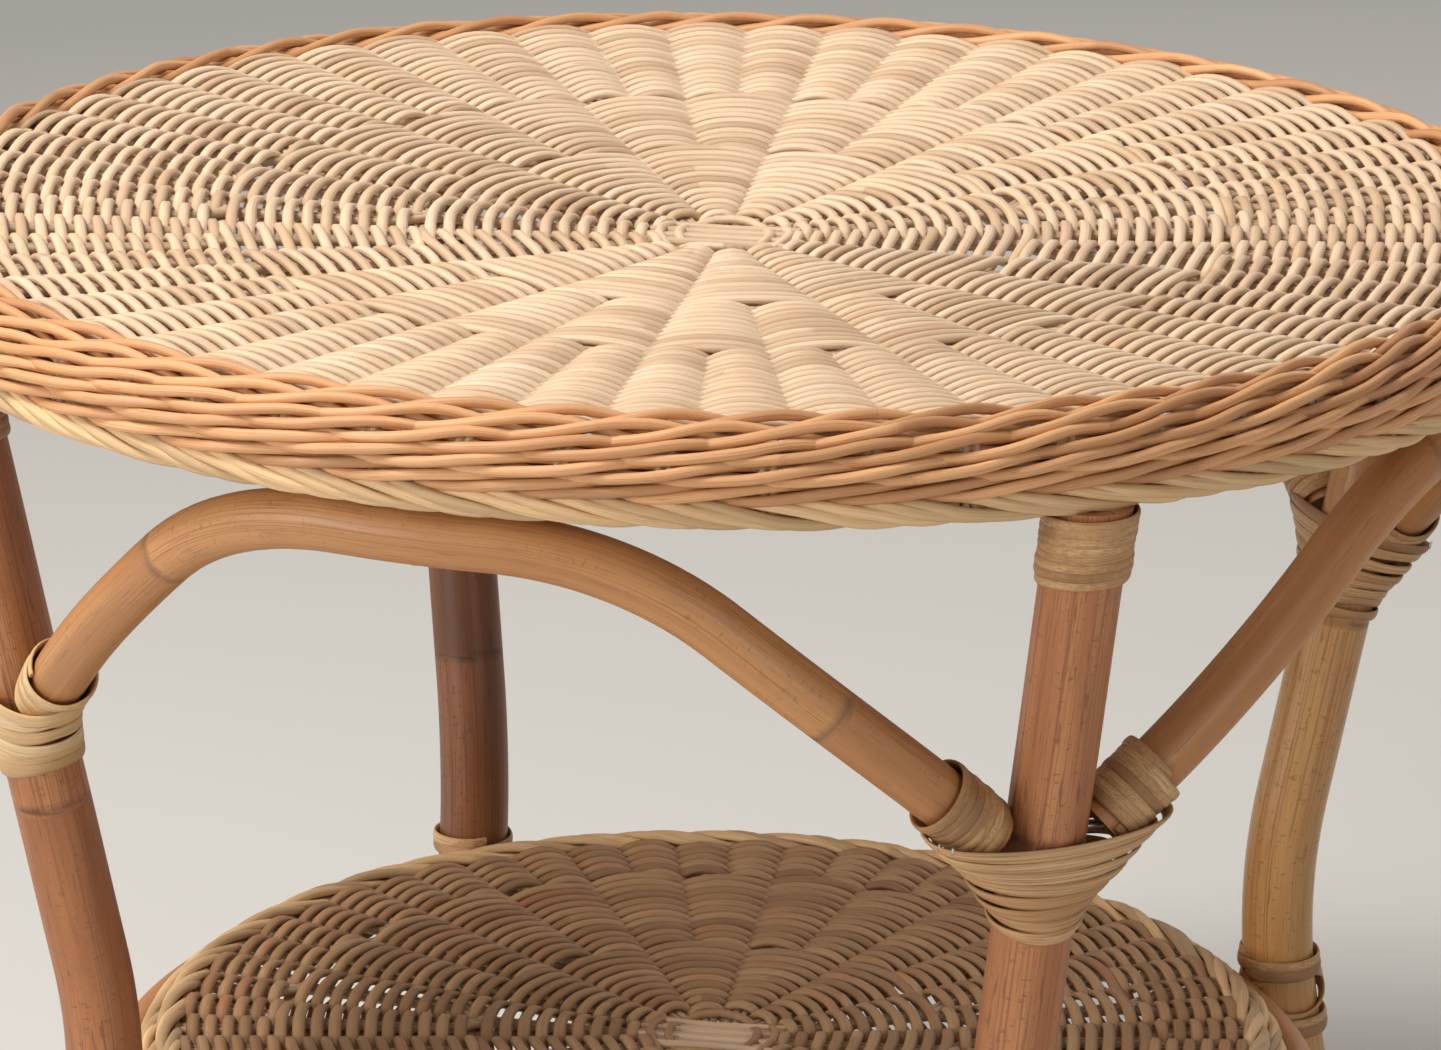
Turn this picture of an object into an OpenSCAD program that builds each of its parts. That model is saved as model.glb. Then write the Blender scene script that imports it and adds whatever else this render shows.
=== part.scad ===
// Wicker coffee table: a round woven top with a skirt, four bent rattan legs, four arched
// braces that spring from leg to leg under the top, and a smaller woven shelf near the floor.
// Millimetres. The origin is on the floor under the centre, +Z is up, and the legs stand on
// the diagonals, so -Y is the front.

/* [Table] */
// Height from the floor to the top's rim
table_h = 480; // [450:5:520]
// Diameter of the top over its skirt
top_d = 630; // [600:5:680]
// Height from the floor to the shelf's rim
shelf_h = 153; // [140:1:170]
// Diameter of the shelf over its border
shelf_d = 444; // [420:2:460]

/* [Weave] */
// Thickness of one weaving strand
strand_t = 3.4; // [3:0.1:3.6]
// Diameter of one stake
stake_d = 3.4; // [2.6:0.1:3.6]
// Number of base sticks' ends, which start at the cross; as many stakes again are added further out
base_stake_count = 28; // [24:4:32]
// Number of stakes that turn down inside the skirt
skirt_stake_count = 57; // [51:3:60]
// How far the middle of the top hangs below its rim
top_sag = 12; // [4:1:14]
// How far the middle of the shelf hangs below its rim
shelf_sag = 4; // [2:1:6]
// Diameter of the woven centre, where the base sticks cross
cross_d = 50; // [48:1:56]

/* [Skirt] */
// Rows of thick strands round the skirt
wale_rows = 5; // [4:1:5]
// Thickness of one row
wale_t = 7.2; // [6.8:0.1:7.2]
// Radius of the skirt's rounded shoulder
shoulder_r = 14; // [13.8:0.1:15]
// Thickness of the plaited border under the skirt
border_t = 7.8; // [7:0.1:8]

/* [Rattan poles] */
// Diameter of a leg
leg_d = 28.4; // [26:0.2:30]
// Diameter of an arched brace
arch_d = 20.8; // [18:0.2:22]
// Diameter of the hoop under the top
top_hoop_d = 26; // [22:0.5:27]
// Diameter of the hoop under the shelf
shelf_hoop_d = 15; // [13:0.5:16]
// Lean of a leg's upper stretch, outwards, in degrees
leg_lean = 12; // [10:0.5:13]
// Lean of a leg's foot, outwards, in degrees
foot_flare = 11; // [8:0.5:13]
// Radius of the bend at a leg's waist
leg_bend_r = 235; // [200:5:260]
// Height of a leg's waist
waist_h = 165; // [150:1:175]
// Height at which the braces meet the legs
joint_h = 304; // [290:1:320]
// Slope of a brace where it meets a leg, in degrees
arch_slope = 40; // [36:1:44]
// Radius of a brace's shoulder
arch_bend_r = 120; // [80:5:130]

/* [Bindings] */
// Thickness of a wrapped peel
peel_t = 2; // [1.6:0.1:2.2]
// Width of the binding at a leg's top
top_binding_w = 27; // [20:1:32]
// Width of the wrap on a brace's end
arch_wrap_w = 25; // [18:1:28]
// Diameter of a nail
nail_d = 2.4; // [2:0.1:2.8]

/* [Hidden] */
$fn = 96;
gap = 0.3;                                  // clearance between neighbouring pieces
top_r = top_d / 2;
leg_r = leg_d / 2;
arch_r = arch_d / 2;
wale_r = wale_t / 2;
leg_turns = [45, 135, 225, 315];            // azimuth of each leg from the front, anticlockwise
arch_turns = [0, 90, 180, 270];             // azimuth of each brace's middle

// Skirt: row centres run round the shoulder and then down and slightly in
shoulder_c = [top_r - wale_r - shoulder_r, table_h - wale_r - shoulder_r];
row_gap = wale_t - 0.3;
row_turn = 2 * asin(row_gap / 2 / shoulder_r);
rows_on_shoulder = 4;
skirt_rake = 8;
function row_angle(i) = 2 + min(i, rows_on_shoulder - 1) * row_turn;
function wale_at(i) = let (a = row_angle(i), over = max(0, i - rows_on_shoulder + 1) * row_gap)
    [shoulder_c[0] + shoulder_r * sin(a) - over * sin(skirt_rake),
     shoulder_c[1] + shoulder_r * cos(a) - over * cos(skirt_rake)];
last_row = wale_at(wale_rows - 1);
border_step = [-4.4, -6.7];                 // from the skirt's last row to the border
border_at = last_row + border_step;

// Woven panels: an upper weave, the stakes and a lower weave, each resting on the next
layer_gap = 0.1;
face_r = wale_at(0)[0] - wale_r - gap;
face_z = table_h - 1;
shelf_face_z = shelf_h - 1;
back_drop = strand_t + stake_d + 2 * layer_gap;   // from an upper weave down to its lower weave
shelf_border_t = 8;
shelf_rows = [[0, 0], [6.6, -4], [7.4, -11.4]];   // from the border's first row to each row
shelf_border_w = shelf_rows[2][0] + shelf_border_t + gap;
shelf_face_r = shelf_d / 2 - shelf_border_w - 0.9;
cross_r = cross_d / 2;
top_added_r = 0.39 * face_r;
shelf_added_r = 0.45 * shelf_face_r;
skirt_stake_r = last_row[0] - wale_r - stake_d / 2 - 1.4;

function unit(v) = v / norm(v);
// Points of a circle of radius r round p, square to direction t, with its first point outwards
function ring(p, t, r, n) = let (a = unit(cross(t, cross([p[0], p[1], 0], t))), b = cross(t, a))
    [for (k = [0:n - 1]) p + r * (cos(360 * k / n) * a + sin(360 * k / n) * b)];
// The same points slid along t onto the level z
function levelled(points, t, z) = [for (p = points) p + t * (z - p[2]) / t[2]];

// Top hoop and the legs under it
hoop_r = border_at[0] - border_t / 2 - 2 - top_hoop_d / 2;
hoop_z = border_at[1] - border_t / 2 - 4.4 + top_hoop_d / 2;
leg_top = hoop_z - top_hoop_d / 2 - gap;
shelf_hoop_r = shelf_d / 2 + 5.5;
shelf_hoop_z = shelf_h - 23;
at_shelf_hoop = asin((shelf_hoop_z - waist_h) / leg_bend_r);
waist_r = shelf_hoop_r + shelf_hoop_d / 2 + leg_r + gap - leg_bend_r * (1 - cos(at_shelf_hoop));
upper_z = waist_h + leg_bend_r * sin(leg_lean);
upper_r = waist_r + leg_bend_r * (1 - cos(leg_lean));
lower_z = waist_h - leg_bend_r * sin(foot_flare);
lower_r = waist_r + leg_bend_r * (1 - cos(foot_flare));
leg_sides = 28;
bend_steps = 14;
function leg_axis_r(z) = z > upper_z ? upper_r + (z - upper_z) * tan(leg_lean)
    : z < lower_z ? lower_r + (lower_z - z) * tan(foot_flare)
    : waist_r + leg_bend_r - sqrt(pow(leg_bend_r, 2) - pow(z - waist_h, 2));
function leg_slope(z) = z > upper_z ? leg_lean : z < lower_z ? -foot_flare : asin((z - waist_h) / leg_bend_r);
function leg_ring(z) = let (a = leg_slope(z))
    ring([leg_axis_r(z), 0, z], [sin(a), 0, cos(a)], leg_r, leg_sides);

// Braces: drawn unrolled, as distance along against height, then wrapped round the table
crown_r = hoop_r + 3;
crown_z = hoop_z - top_hoop_d / 2 - arch_r - gap;
joint_r = leg_axis_r(joint_h);
arch_mean_r = (crown_r + joint_r) / 2;
arch_half = arch_mean_r * PI / 4;
arch_corner = arch_half - (crown_z - joint_h) / tan(arch_slope);
arch_tangent = arch_bend_r * tan(arch_slope / 2);
arch_end = arch_half - leg_r - arch_r * sin(arch_slope) - gap;
arch_steps = 36;
arch_sides = 20;
function arch_drop(u) = let (s = abs(u) - arch_corner + arch_tangent)
    s <= 0 ? 0
    : s < arch_bend_r * sin(arch_slope) ? arch_bend_r - sqrt(pow(arch_bend_r, 2) - s * s)
    : (abs(u) - arch_corner) * tan(arch_slope);
function arch_radius(u) = crown_r - (crown_r - joint_r) * pow(u / arch_half, 2);
function arch_point(u) = let (a = u / arch_mean_r * 180 / PI, r = arch_radius(u))
    [r * sin(a), -r * cos(a), crown_z - arch_drop(u)];
function arch_dir(u) = unit(arch_point(u + 0.5) - arch_point(u - 0.5));

// Joint binding: a basket of peel round the leg and both brace ends, closed by wire staples
staple_t = 0.8;
basket_low = -23;
basket_high = 16;
basket_reach = 31.5;
basket_band = 4;
basket_tip_r = arch_r + peel_t + 0.2;
basket_fn = 32;

// A ring whose section is one or more circles, each centred at [radius, height]
module hoop(centres, d) {
    rotate_extrude() for (c = centres) translate(c) circle(d / 2, $fn = 40);
}

// A dished sheet of weave, from the cross to its edge
module dished_sheet(outer_r, top_z, sag, t) {
    translate([0, 0, top_z])
        rotate_extrude() polygon([[cross_r, -sag], [outer_r, 0], [outer_r, -t], [cross_r, -sag - t]]);
}

// Rods that fan out to the edge in the panel's middle layer: every second one starts at the
// cross, and the others are added at added_r
module stake_fan(added_r, outer_r, top_z, sag) {
    tilt = atan(sag / (outer_r - cross_r));
    n = 2 * base_stake_count;
    for (i = [0:n - 1]) {
        inner_r = i % 2 == 0 ? cross_r + 1 : added_r;
        rise = (inner_r - cross_r) * tan(tilt);
        rotate([0, 0, 360 * (i + 0.5) / n])
            translate([inner_r, 0, top_z - sag + rise - strand_t - layer_gap - stake_d / 2])
            rotate([0, 90 - tilt, 0])
            cylinder(h = (outer_r - inner_r) / cos(tilt) - 1, d = stake_d - 0.2, $fn = 24);
    }
}

// The two layers of parallel base sticks at the centre
module base_cross(top_z, sag) {
    pitch = stake_d + 0.2;
    for (layer = [0, 1]) for (i = [-3:3]) {
        half = sqrt(pow(cross_r - 1, 2) - pow(i * pitch + sign(i) * stake_d / 2, 2));
        translate([0, 0, top_z - sag - 1 - stake_d / 2 - layer * (stake_d + layer_gap)])
            rotate([0, 0, 45 + 90 * layer]) translate([0, i * pitch, 0])
            rotate([0, 90, 0]) cylinder(h = 2 * half, d = stake_d, center = true, $fn = 24);
    }
}

// Places children on the leg at azimuth turn: X radial and outwards, Z up
module at_leg(turn) {
    rotate([0, 0, turn - 90]) children();
}

// Places children on a leg's upper stretch at height z: Z runs up the leg's axis
module on_upper_leg(turn, z) {
    at_leg(turn) translate([leg_axis_r(z), 0, z]) rotate([0, leg_lean, 0]) children();
}

// A closed skin over rings of n points each
module skin(rings, n) {
    last = len(rings) - 1;
    sides = [for (i = [0:last - 1]) for (k = [0:n - 1])
        [i * n + k, i * n + (k + 1) % n, (i + 1) * n + (k + 1) % n, (i + 1) * n + k]];
    start_cap = [for (k = [n - 1:-1:0]) k];
    end_cap = [for (k = [0:n - 1]) last * n + k];
    polyhedron([for (r = rings) each r], concat([start_cap], sides, [end_cap]), convexity = 4);
}

module leg(turn) {
    foot_dir = [-sin(foot_flare), 0, cos(foot_flare)];
    top_dir = [sin(leg_lean), 0, cos(leg_lean)];
    bend = [for (i = [0:bend_steps]) leg_ring(lower_z + (upper_z - lower_z) * i / bend_steps)];
    at_leg(turn) skin(concat([levelled(leg_ring(0), foot_dir, 0)], bend,
        [levelled(leg_ring(leg_top), top_dir, leg_top)]), leg_sides);
}

module arch(turn) {
    us = [for (i = [0:arch_steps]) -arch_end + 2 * arch_end * i / arch_steps];
    rotate([0, 0, turn])
        skin([for (u = us) ring(arch_point(u), arch_dir(u), arch_r, arch_sides)], arch_sides);
}

// Turns +Z onto direction v
module aim(v) {
    rotate([0, acos(v[2] / norm(v)), atan2(v[1], v[0])]) children();
}

// A wrap of peel on one end of a brace: side is -1 or 1
module arch_wrap(turn, side) {
    start = arch_end - 4.5;
    p = arch_point(side * start);
    q = arch_point(side * (start - arch_wrap_w));
    rotate([0, 0, turn]) translate(p) aim(q - p) difference() {
        cylinder(h = norm(q - p), r = arch_r + peel_t);
        translate([0, 0, -1]) cylinder(h = norm(q - p) + 2, r = arch_r + 0.5);
    }
}

module top_binding(turn) {
    drop = top_binding_w + (leg_r + peel_t) * sin(leg_lean) + 0.6;
    on_upper_leg(turn, leg_top - drop) difference() {
        cylinder(h = top_binding_w, r = leg_r + peel_t);
        translate([0, 0, -1]) cylinder(h = top_binding_w + 2, r = leg_r + 0.2);
    }
}

// The space that leg and brace ends fill inside a joint binding, grown outwards by grow and
// lengthened past the binding's two edges by over
module basket_body(grow, over) {
    hull() {
        translate([0, 0, basket_low - over])
            cylinder(h = basket_band + over, r = leg_r + gap + grow, $fn = basket_fn);
        for (side = [-1, 0, 1]) translate([0, side * basket_reach, basket_high - basket_band])
            cylinder(h = basket_band + over, r = (side == 0 ? leg_r + gap : basket_tip_r) + grow,
                $fn = basket_fn);
    }
}

module joint_binding(turn) {
    on_upper_leg(turn, joint_h) difference() {
        basket_body(peel_t, 0);
        basket_body(0, 1);
    }
}

// A binding where the shelf's hoop meets a leg: full turns above and below the hoop, and a
// crossed wrap over the leg's outer side between them
module shelf_binding(turn) {
    low = shelf_hoop_z - shelf_hoop_d / 2 - 9;
    h = shelf_hoop_d + 18;
    at_leg(turn) translate([waist_r + leg_bend_r * (1 - cos(at_shelf_hoop)), 0, low]) difference() {
        cylinder(h = h, r = leg_r + peel_t + 0.9);
        translate([0, 0, -1]) cylinder(h = h + 2, r = leg_r + 0.9);
        translate([-leg_r - 10, -leg_r - 10, 8.5]) cube([leg_r + 12, 2 * leg_r + 20, h - 17]);
    }
}

module nail(length) {
    cylinder(h = length, d = nail_d, $fn = 16);
    cylinder(h = 1, d = 2 * nail_d, $fn = 16);
}

module hoop_nails() {
    color("silver") for (turn = leg_turns) at_leg(turn)
        translate([hoop_r + 4, 0, hoop_z + top_hoop_d / 2 - 0.5]) rotate([180, 0, 0]) nail(46);
}

module crown_nails() {
    color("silver") for (turn = arch_turns) rotate([0, 0, turn])
        translate([0, -hoop_r - 1.5, crown_z - arch_r - 0.6]) nail(36);
}

module joint_nails() {
    color("silver") for (turn = leg_turns) for (side = [-1, 1]) on_upper_leg(turn, joint_h)
        translate([0, side * 35, 17]) rotate([side * 90, 0, 0]) nail(31);
}

module shelf_nails() {
    color("silver") for (turn = leg_turns) at_leg(turn)
        translate([shelf_hoop_r + shelf_hoop_d / 2 + leg_d, 0, shelf_hoop_z]) rotate([0, -90, 0]) nail(40);
}

// Two wire staples that hold the outer end of each joint binding
module staples() {
    color("silver") for (turn = leg_turns) for (i = [0, 1]) on_upper_leg(turn, joint_h)
        translate([0, -basket_reach, basket_high - basket_band / 2]) rotate([0, 0, -50 - 30 * i])
        translate([basket_tip_r + peel_t + staple_t, 0, 0])
        cube([staple_t, 1, basket_band], center = true);
}

module top_weave_face() {
    color("wheat") dished_sheet(face_r, face_z, top_sag, strand_t);
}

module top_weave_back() {
    color("wheat") dished_sheet(face_r, face_z - back_drop, top_sag, strand_t);
}

module top_cross() {
    color("tan") base_cross(face_z, top_sag);
}

module top_stakes() {
    color("tan") stake_fan(top_added_r, face_r, face_z, top_sag);
}

module skirt_stakes() {
    low = border_at[1] + border_t / 2 + 0.6;
    high = wale_at(1)[1] - wale_r - 1;
    color("tan") for (i = [0:skirt_stake_count - 1]) rotate([0, 0, 360 * i / skirt_stake_count])
        translate([skirt_stake_r, 0, low]) cylinder(h = high - low, d = stake_d - 0.4, $fn = 24);
}

module top_wale() {
    color("peru") hoop([for (i = [0:wale_rows - 1]) wale_at(i)], wale_t);
}

module top_border() {
    color("burlywood") hoop([border_at], border_t);
}

module top_hoop() {
    color("sandybrown") hoop([[hoop_r, hoop_z]], top_hoop_d);
}

module shelf_weave_face() {
    color("burlywood") dished_sheet(shelf_face_r, shelf_face_z, shelf_sag, strand_t);
}

module shelf_weave_back() {
    color("burlywood") dished_sheet(shelf_face_r, shelf_face_z - back_drop, shelf_sag, strand_t);
}

module shelf_cross() {
    color("tan") base_cross(shelf_face_z, shelf_sag);
}

module shelf_stakes() {
    color("tan") stake_fan(shelf_added_r, shelf_face_r, shelf_face_z, shelf_sag);
}

module shelf_border() {
    inner = [shelf_face_r + shelf_border_t / 2 + gap, shelf_h - shelf_border_t / 2];
    color("burlywood") hoop([for (step = shelf_rows) inner + step], shelf_border_t);
}

module shelf_hoop() {
    color("sandybrown") hoop([[shelf_hoop_r, shelf_hoop_z]], shelf_hoop_d);
}

top_weave_face();
top_weave_back();
top_cross();
top_stakes();
skirt_stakes();
top_wale();
top_border();
top_hoop();
color("sienna") leg(leg_turns[0]);  // leg_front_right
color("peru") leg(leg_turns[1]);  // leg_back_right
color("sienna") leg(leg_turns[2]);  // leg_back_left
color("peru") leg(leg_turns[3]);  // leg_front_left
color("burlywood") arch(arch_turns[0]);  // arch_front
color("burlywood") arch(arch_turns[1]);  // arch_right
color("burlywood") arch(arch_turns[2]);  // arch_back
color("burlywood") arch(arch_turns[3]);  // arch_left
color("khaki") top_binding(leg_turns[0]);  // top_binding_front_right
color("khaki") top_binding(leg_turns[1]);  // top_binding_back_right
color("khaki") top_binding(leg_turns[2]);  // top_binding_back_left
color("khaki") top_binding(leg_turns[3]);  // top_binding_front_left
color("khaki") arch_wrap(arch_turns[0], -1);  // arch_wrap_front_a
color("khaki") arch_wrap(arch_turns[0], 1);  // arch_wrap_front_b
color("khaki") arch_wrap(arch_turns[1], -1);  // arch_wrap_right_a
color("khaki") arch_wrap(arch_turns[1], 1);  // arch_wrap_right_b
color("khaki") arch_wrap(arch_turns[2], -1);  // arch_wrap_back_a
color("khaki") arch_wrap(arch_turns[2], 1);  // arch_wrap_back_b
color("khaki") arch_wrap(arch_turns[3], -1);  // arch_wrap_left_a
color("khaki") arch_wrap(arch_turns[3], 1);  // arch_wrap_left_b
color("goldenrod") joint_binding(leg_turns[0]);  // joint_binding_front_right
color("goldenrod") joint_binding(leg_turns[1]);  // joint_binding_back_right
color("goldenrod") joint_binding(leg_turns[2]);  // joint_binding_back_left
color("goldenrod") joint_binding(leg_turns[3]);  // joint_binding_front_left
shelf_weave_face();
shelf_weave_back();
shelf_cross();
shelf_stakes();
shelf_border();
shelf_hoop();
color("khaki") shelf_binding(leg_turns[0]);  // shelf_binding_front_right
color("khaki") shelf_binding(leg_turns[1]);  // shelf_binding_back_right
color("khaki") shelf_binding(leg_turns[2]);  // shelf_binding_back_left
color("khaki") shelf_binding(leg_turns[3]);  // shelf_binding_front_left
hoop_nails();
crown_nails();
joint_nails();
shelf_nails();
staples();
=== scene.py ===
"""The looks of a round wicker coffee table: woven cane, bent rattan poles and peel bindings.

Every strand of cane is its own swept shape. The weave, the stakes, the twisted rows, the poles
and the bindings are grown by Geometry Nodes trees that are built here, and each operator of the
add-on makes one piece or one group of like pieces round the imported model.
"""

import math

import bmesh
import bpy
from bpy.props import FloatProperty, FloatVectorProperty, IntProperty, PointerProperty
from mathutils import Matrix, Vector


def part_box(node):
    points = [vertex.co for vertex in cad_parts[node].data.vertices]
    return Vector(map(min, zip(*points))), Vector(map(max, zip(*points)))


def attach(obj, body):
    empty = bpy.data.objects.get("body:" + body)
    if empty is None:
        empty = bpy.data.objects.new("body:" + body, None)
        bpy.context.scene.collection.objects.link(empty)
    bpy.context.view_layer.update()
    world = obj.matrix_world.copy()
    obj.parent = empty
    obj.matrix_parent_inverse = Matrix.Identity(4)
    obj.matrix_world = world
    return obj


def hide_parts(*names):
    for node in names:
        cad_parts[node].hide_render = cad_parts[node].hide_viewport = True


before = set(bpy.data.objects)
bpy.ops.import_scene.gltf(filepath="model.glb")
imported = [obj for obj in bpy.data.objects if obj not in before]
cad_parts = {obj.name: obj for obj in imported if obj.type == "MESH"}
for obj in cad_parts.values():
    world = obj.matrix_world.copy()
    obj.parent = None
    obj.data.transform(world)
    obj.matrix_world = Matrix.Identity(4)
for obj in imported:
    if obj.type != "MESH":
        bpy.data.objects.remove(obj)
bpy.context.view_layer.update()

bl_info = {
    "name": "Wicker Coffee Table",
    "version": (1, 0, 0),
    "blender": (4, 5, 0),
    "location": "3D View > Sidebar > Wicker",
    "description": "Weaves a round wicker table with rattan legs, braces and a shelf",
    "category": "Add Mesh",
}

TAU = math.tau
MM = 0.001
LEGS = {"front_right": 45, "back_right": 135, "back_left": 225, "front_left": 315}
BRACES = {"front": 0, "right": 90, "back": 180, "left": 270}


# ---------------------------------------------------------------- sizes read from the frame

def ring_of(node):
    """(radius, height, thickness) of the round section of a ring-shaped node."""
    low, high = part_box(node)
    thick = high.z - low.z
    return high.x - thick / 2, (low.z + high.z) / 2, thick


class Panel:
    """One woven disc: where its edge and centre lie, taken from its nodes."""

    def __init__(self, name):
        low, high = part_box(name + "_weave_face")
        self.edge = high.x
        self.rim_z = high.z
        self.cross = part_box(name + "_cross")[1].x + 1.5 * MM
        self.cane = 3.4 * MM
        self.stake = 3.4 * MM
        self.sag = high.z - low.z - self.cane
        self.middle = self.rim_z - self.cane - self.stake / 2

    def slope(self):
        """Rise of the dish for each metre outwards."""
        return self.sag / (self.edge - self.cross)


TOP = Panel("top")
SHELF = Panel("shelf")
TOP_HOOP = ring_of("top_hoop")
SHELF_HOOP = ring_of("shelf_hoop")
BORDER = ring_of("top_border")
RIM_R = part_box("top_wale")[1].x
TABLE_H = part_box("top_wale")[1].z
SHELF_RIM_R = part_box("shelf_border")[1].x
SHELF_RIM_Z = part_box("shelf_border")[1].z

# The bent frame, by the same rule as the model's
LEG_R = 14.2 * MM
BRACE_R = 10.4 * MM
GAP = 0.3 * MM
LEG_LEAN = math.radians(12)
FOOT_FLARE = math.radians(11)
LEG_BEND_R = 0.235
WAIST_Z = 0.165
JOINT_Z = 0.304
BRACE_SLOPE = math.radians(40)
BRACE_BEND_R = 0.12
LEG_TOP = TOP_HOOP[1] - TOP_HOOP[2] / 2 - GAP
LEG_HEAD = LEG_TOP + 4.6 * MM     # a leg's head is sawn off flat, up to the border
WAIST_R = SHELF_HOOP[0] + SHELF_HOOP[2] / 2 + LEG_R + GAP - LEG_BEND_R * (
    1 - math.cos(math.asin((SHELF_HOOP[1] - WAIST_Z) / LEG_BEND_R)))
UPPER_Z = WAIST_Z + LEG_BEND_R * math.sin(LEG_LEAN)
LOWER_Z = WAIST_Z - LEG_BEND_R * math.sin(FOOT_FLARE)


def leg_radius(z):
    """Distance of a leg's axis from the table's axis at height z."""
    if z > UPPER_Z:
        return WAIST_R + LEG_BEND_R * (1 - math.cos(LEG_LEAN)) + (z - UPPER_Z) * math.tan(LEG_LEAN)
    if z < LOWER_Z:
        return WAIST_R + LEG_BEND_R * (1 - math.cos(FOOT_FLARE)) + (LOWER_Z - z) * math.tan(FOOT_FLARE)
    return WAIST_R + LEG_BEND_R - math.sqrt(LEG_BEND_R ** 2 - (z - WAIST_Z) ** 2)


CROWN_R = TOP_HOOP[0] + 3 * MM
CROWN_Z = TOP_HOOP[1] - TOP_HOOP[2] / 2 - BRACE_R - GAP
BRACE_MEAN_R = (CROWN_R + leg_radius(JOINT_Z)) / 2
BRACE_HALF = BRACE_MEAN_R * math.pi / 4
BRACE_CORNER = BRACE_HALF - (CROWN_Z - JOINT_Z) / math.tan(BRACE_SLOPE)
BRACE_TANGENT = BRACE_BEND_R * math.tan(BRACE_SLOPE / 2)
BRACE_END = BRACE_HALF - LEG_R - BRACE_R * math.sin(BRACE_SLOPE) - GAP


def brace_point(u):
    """Point of the front brace's axis, u metres along from its middle."""
    s = abs(u) - BRACE_CORNER + BRACE_TANGENT
    if s <= 0:
        drop = 0
    elif s < BRACE_BEND_R * math.sin(BRACE_SLOPE):
        drop = BRACE_BEND_R - math.sqrt(BRACE_BEND_R ** 2 - s * s)
    else:
        drop = (abs(u) - BRACE_CORNER) * math.tan(BRACE_SLOPE)
    r = CROWN_R - (CROWN_R - leg_radius(JOINT_Z)) * (u / BRACE_HALF) ** 2
    a = u / BRACE_MEAN_R
    return Vector((r * math.sin(a), -r * math.cos(a), CROWN_Z - drop))


def turn(degrees):
    return Matrix.Rotation(math.radians(degrees), 4, "Z")


def level_on_leg(degrees, z):
    """Place on a leg's upper stretch whose levels stay level while it slides along the leg."""
    slide = Matrix.Identity(4)
    slide[0][2] = math.tan(LEG_LEAN)
    return turn(degrees - 90) @ Matrix.Translation((leg_radius(z), 0, z)) @ slide


def on_leg(degrees, z, lean=LEG_LEAN):
    """Place on a leg: X outwards, Z up along the leg's axis."""
    return turn(degrees - 90) @ Matrix.Translation((leg_radius(z), 0, z)) @ Matrix.Rotation(lean, 4, "Y")


# ---------------------------------------------------------------- node trees as expressions

class Wire:
    """One output of a node. Sums, products and quotients of wires add Math nodes."""

    def __init__(self, graph, socket):
        self.graph = graph
        self.socket = socket

    def __add__(self, other):
        return self.graph.maths("ADD", self, other)

    __radd__ = __add__

    def __sub__(self, other):
        return self.graph.maths("SUBTRACT", self, other)

    def __rsub__(self, other):
        return self.graph.maths("SUBTRACT", other, self)

    def __mul__(self, other):
        return self.graph.maths("MULTIPLY", self, other)

    __rmul__ = __mul__

    def __truediv__(self, other):
        return self.graph.maths("DIVIDE", self, other)

    def __rtruediv__(self, other):
        return self.graph.maths("DIVIDE", other, self)

    def __mod__(self, other):
        return self.graph.maths("FLOORED_MODULO", self, other)

    def __pow__(self, other):
        return self.graph.maths("POWER", self, other)

    def __abs__(self):
        return self.graph.maths("ABSOLUTE", self)

    def floor(self):
        return self.graph.maths("FLOOR", self)

    def sin(self):
        return self.graph.maths("SINE", self)

    def cos(self):
        return self.graph.maths("COSINE", self)

    def above(self, low):
        return self.graph.maths("MAXIMUM", self, low)

    def below(self, high):
        return self.graph.maths("MINIMUM", self, high)

    def of(self, name):
        """Another output of the same node."""
        return Wire(self.graph, self.socket.node.outputs[name])


class Graph:
    """A node tree being wired up."""

    def __init__(self, tree):
        self.tree = tree

    def node(self, kind, settings=None, inputs=None, output=0):
        """Adds a node: settings first, then the value or wire of each input."""
        made = self.tree.nodes.new(kind)
        for name, value in (settings or {}).items():
            if name == "stops":
                self.set_stops(made.color_ramp, value)
            else:
                setattr(made, name, value)
        for name, value in (inputs or {}).items():
            if isinstance(value, Wire):
                self.tree.links.new(value.socket, made.inputs[name])
            else:
                made.inputs[name].default_value = value
        return Wire(self, made.outputs[output]) if made.outputs else made

    @staticmethod
    def set_stops(ramp, stops):
        for place, colour in stops[1:-1]:
            ramp.elements.new(place).color = (*colour, 1)
        for element, (place, colour) in ((ramp.elements[0], stops[0]), (ramp.elements[-1], stops[-1])):
            element.position = place
            element.color = (*colour, 1)

    def maths(self, operation, *values):
        return self.node("ShaderNodeMath", {"operation": operation}, dict(enumerate(values)))

    def xyz(self, x, y, z):
        return self.node("ShaderNodeCombineXYZ", inputs={0: x, 1: y, 2: z})

    def noise(self, vector, scale=1.0, detail=2.0, rough=0.5):
        """Noise from 0 to 1 at a point."""
        return self.node("ShaderNodeTexNoise", inputs={
            "Vector": vector, "Scale": scale, "Detail": detail, "Roughness": rough})

    def between(self, value, low, high):
        """0 below low, 1 above high, and smooth between."""
        return self.node("ShaderNodeMapRange", {"interpolation_type": "SMOOTHSTEP"}, {
            "Value": value, "From Min": low, "From Max": high})

    def mix(self, share, first, second):
        """The first colour at a share of 0 and the second at 1."""
        return self.node("ShaderNodeMix", {"data_type": "RGBA"}, {0: share, 6: first, 7: second}, output=2)


# ---------------------------------------------------------------- geometry trees

SOCKETS = {float: "NodeSocketFloat", int: "NodeSocketInt"}


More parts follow.
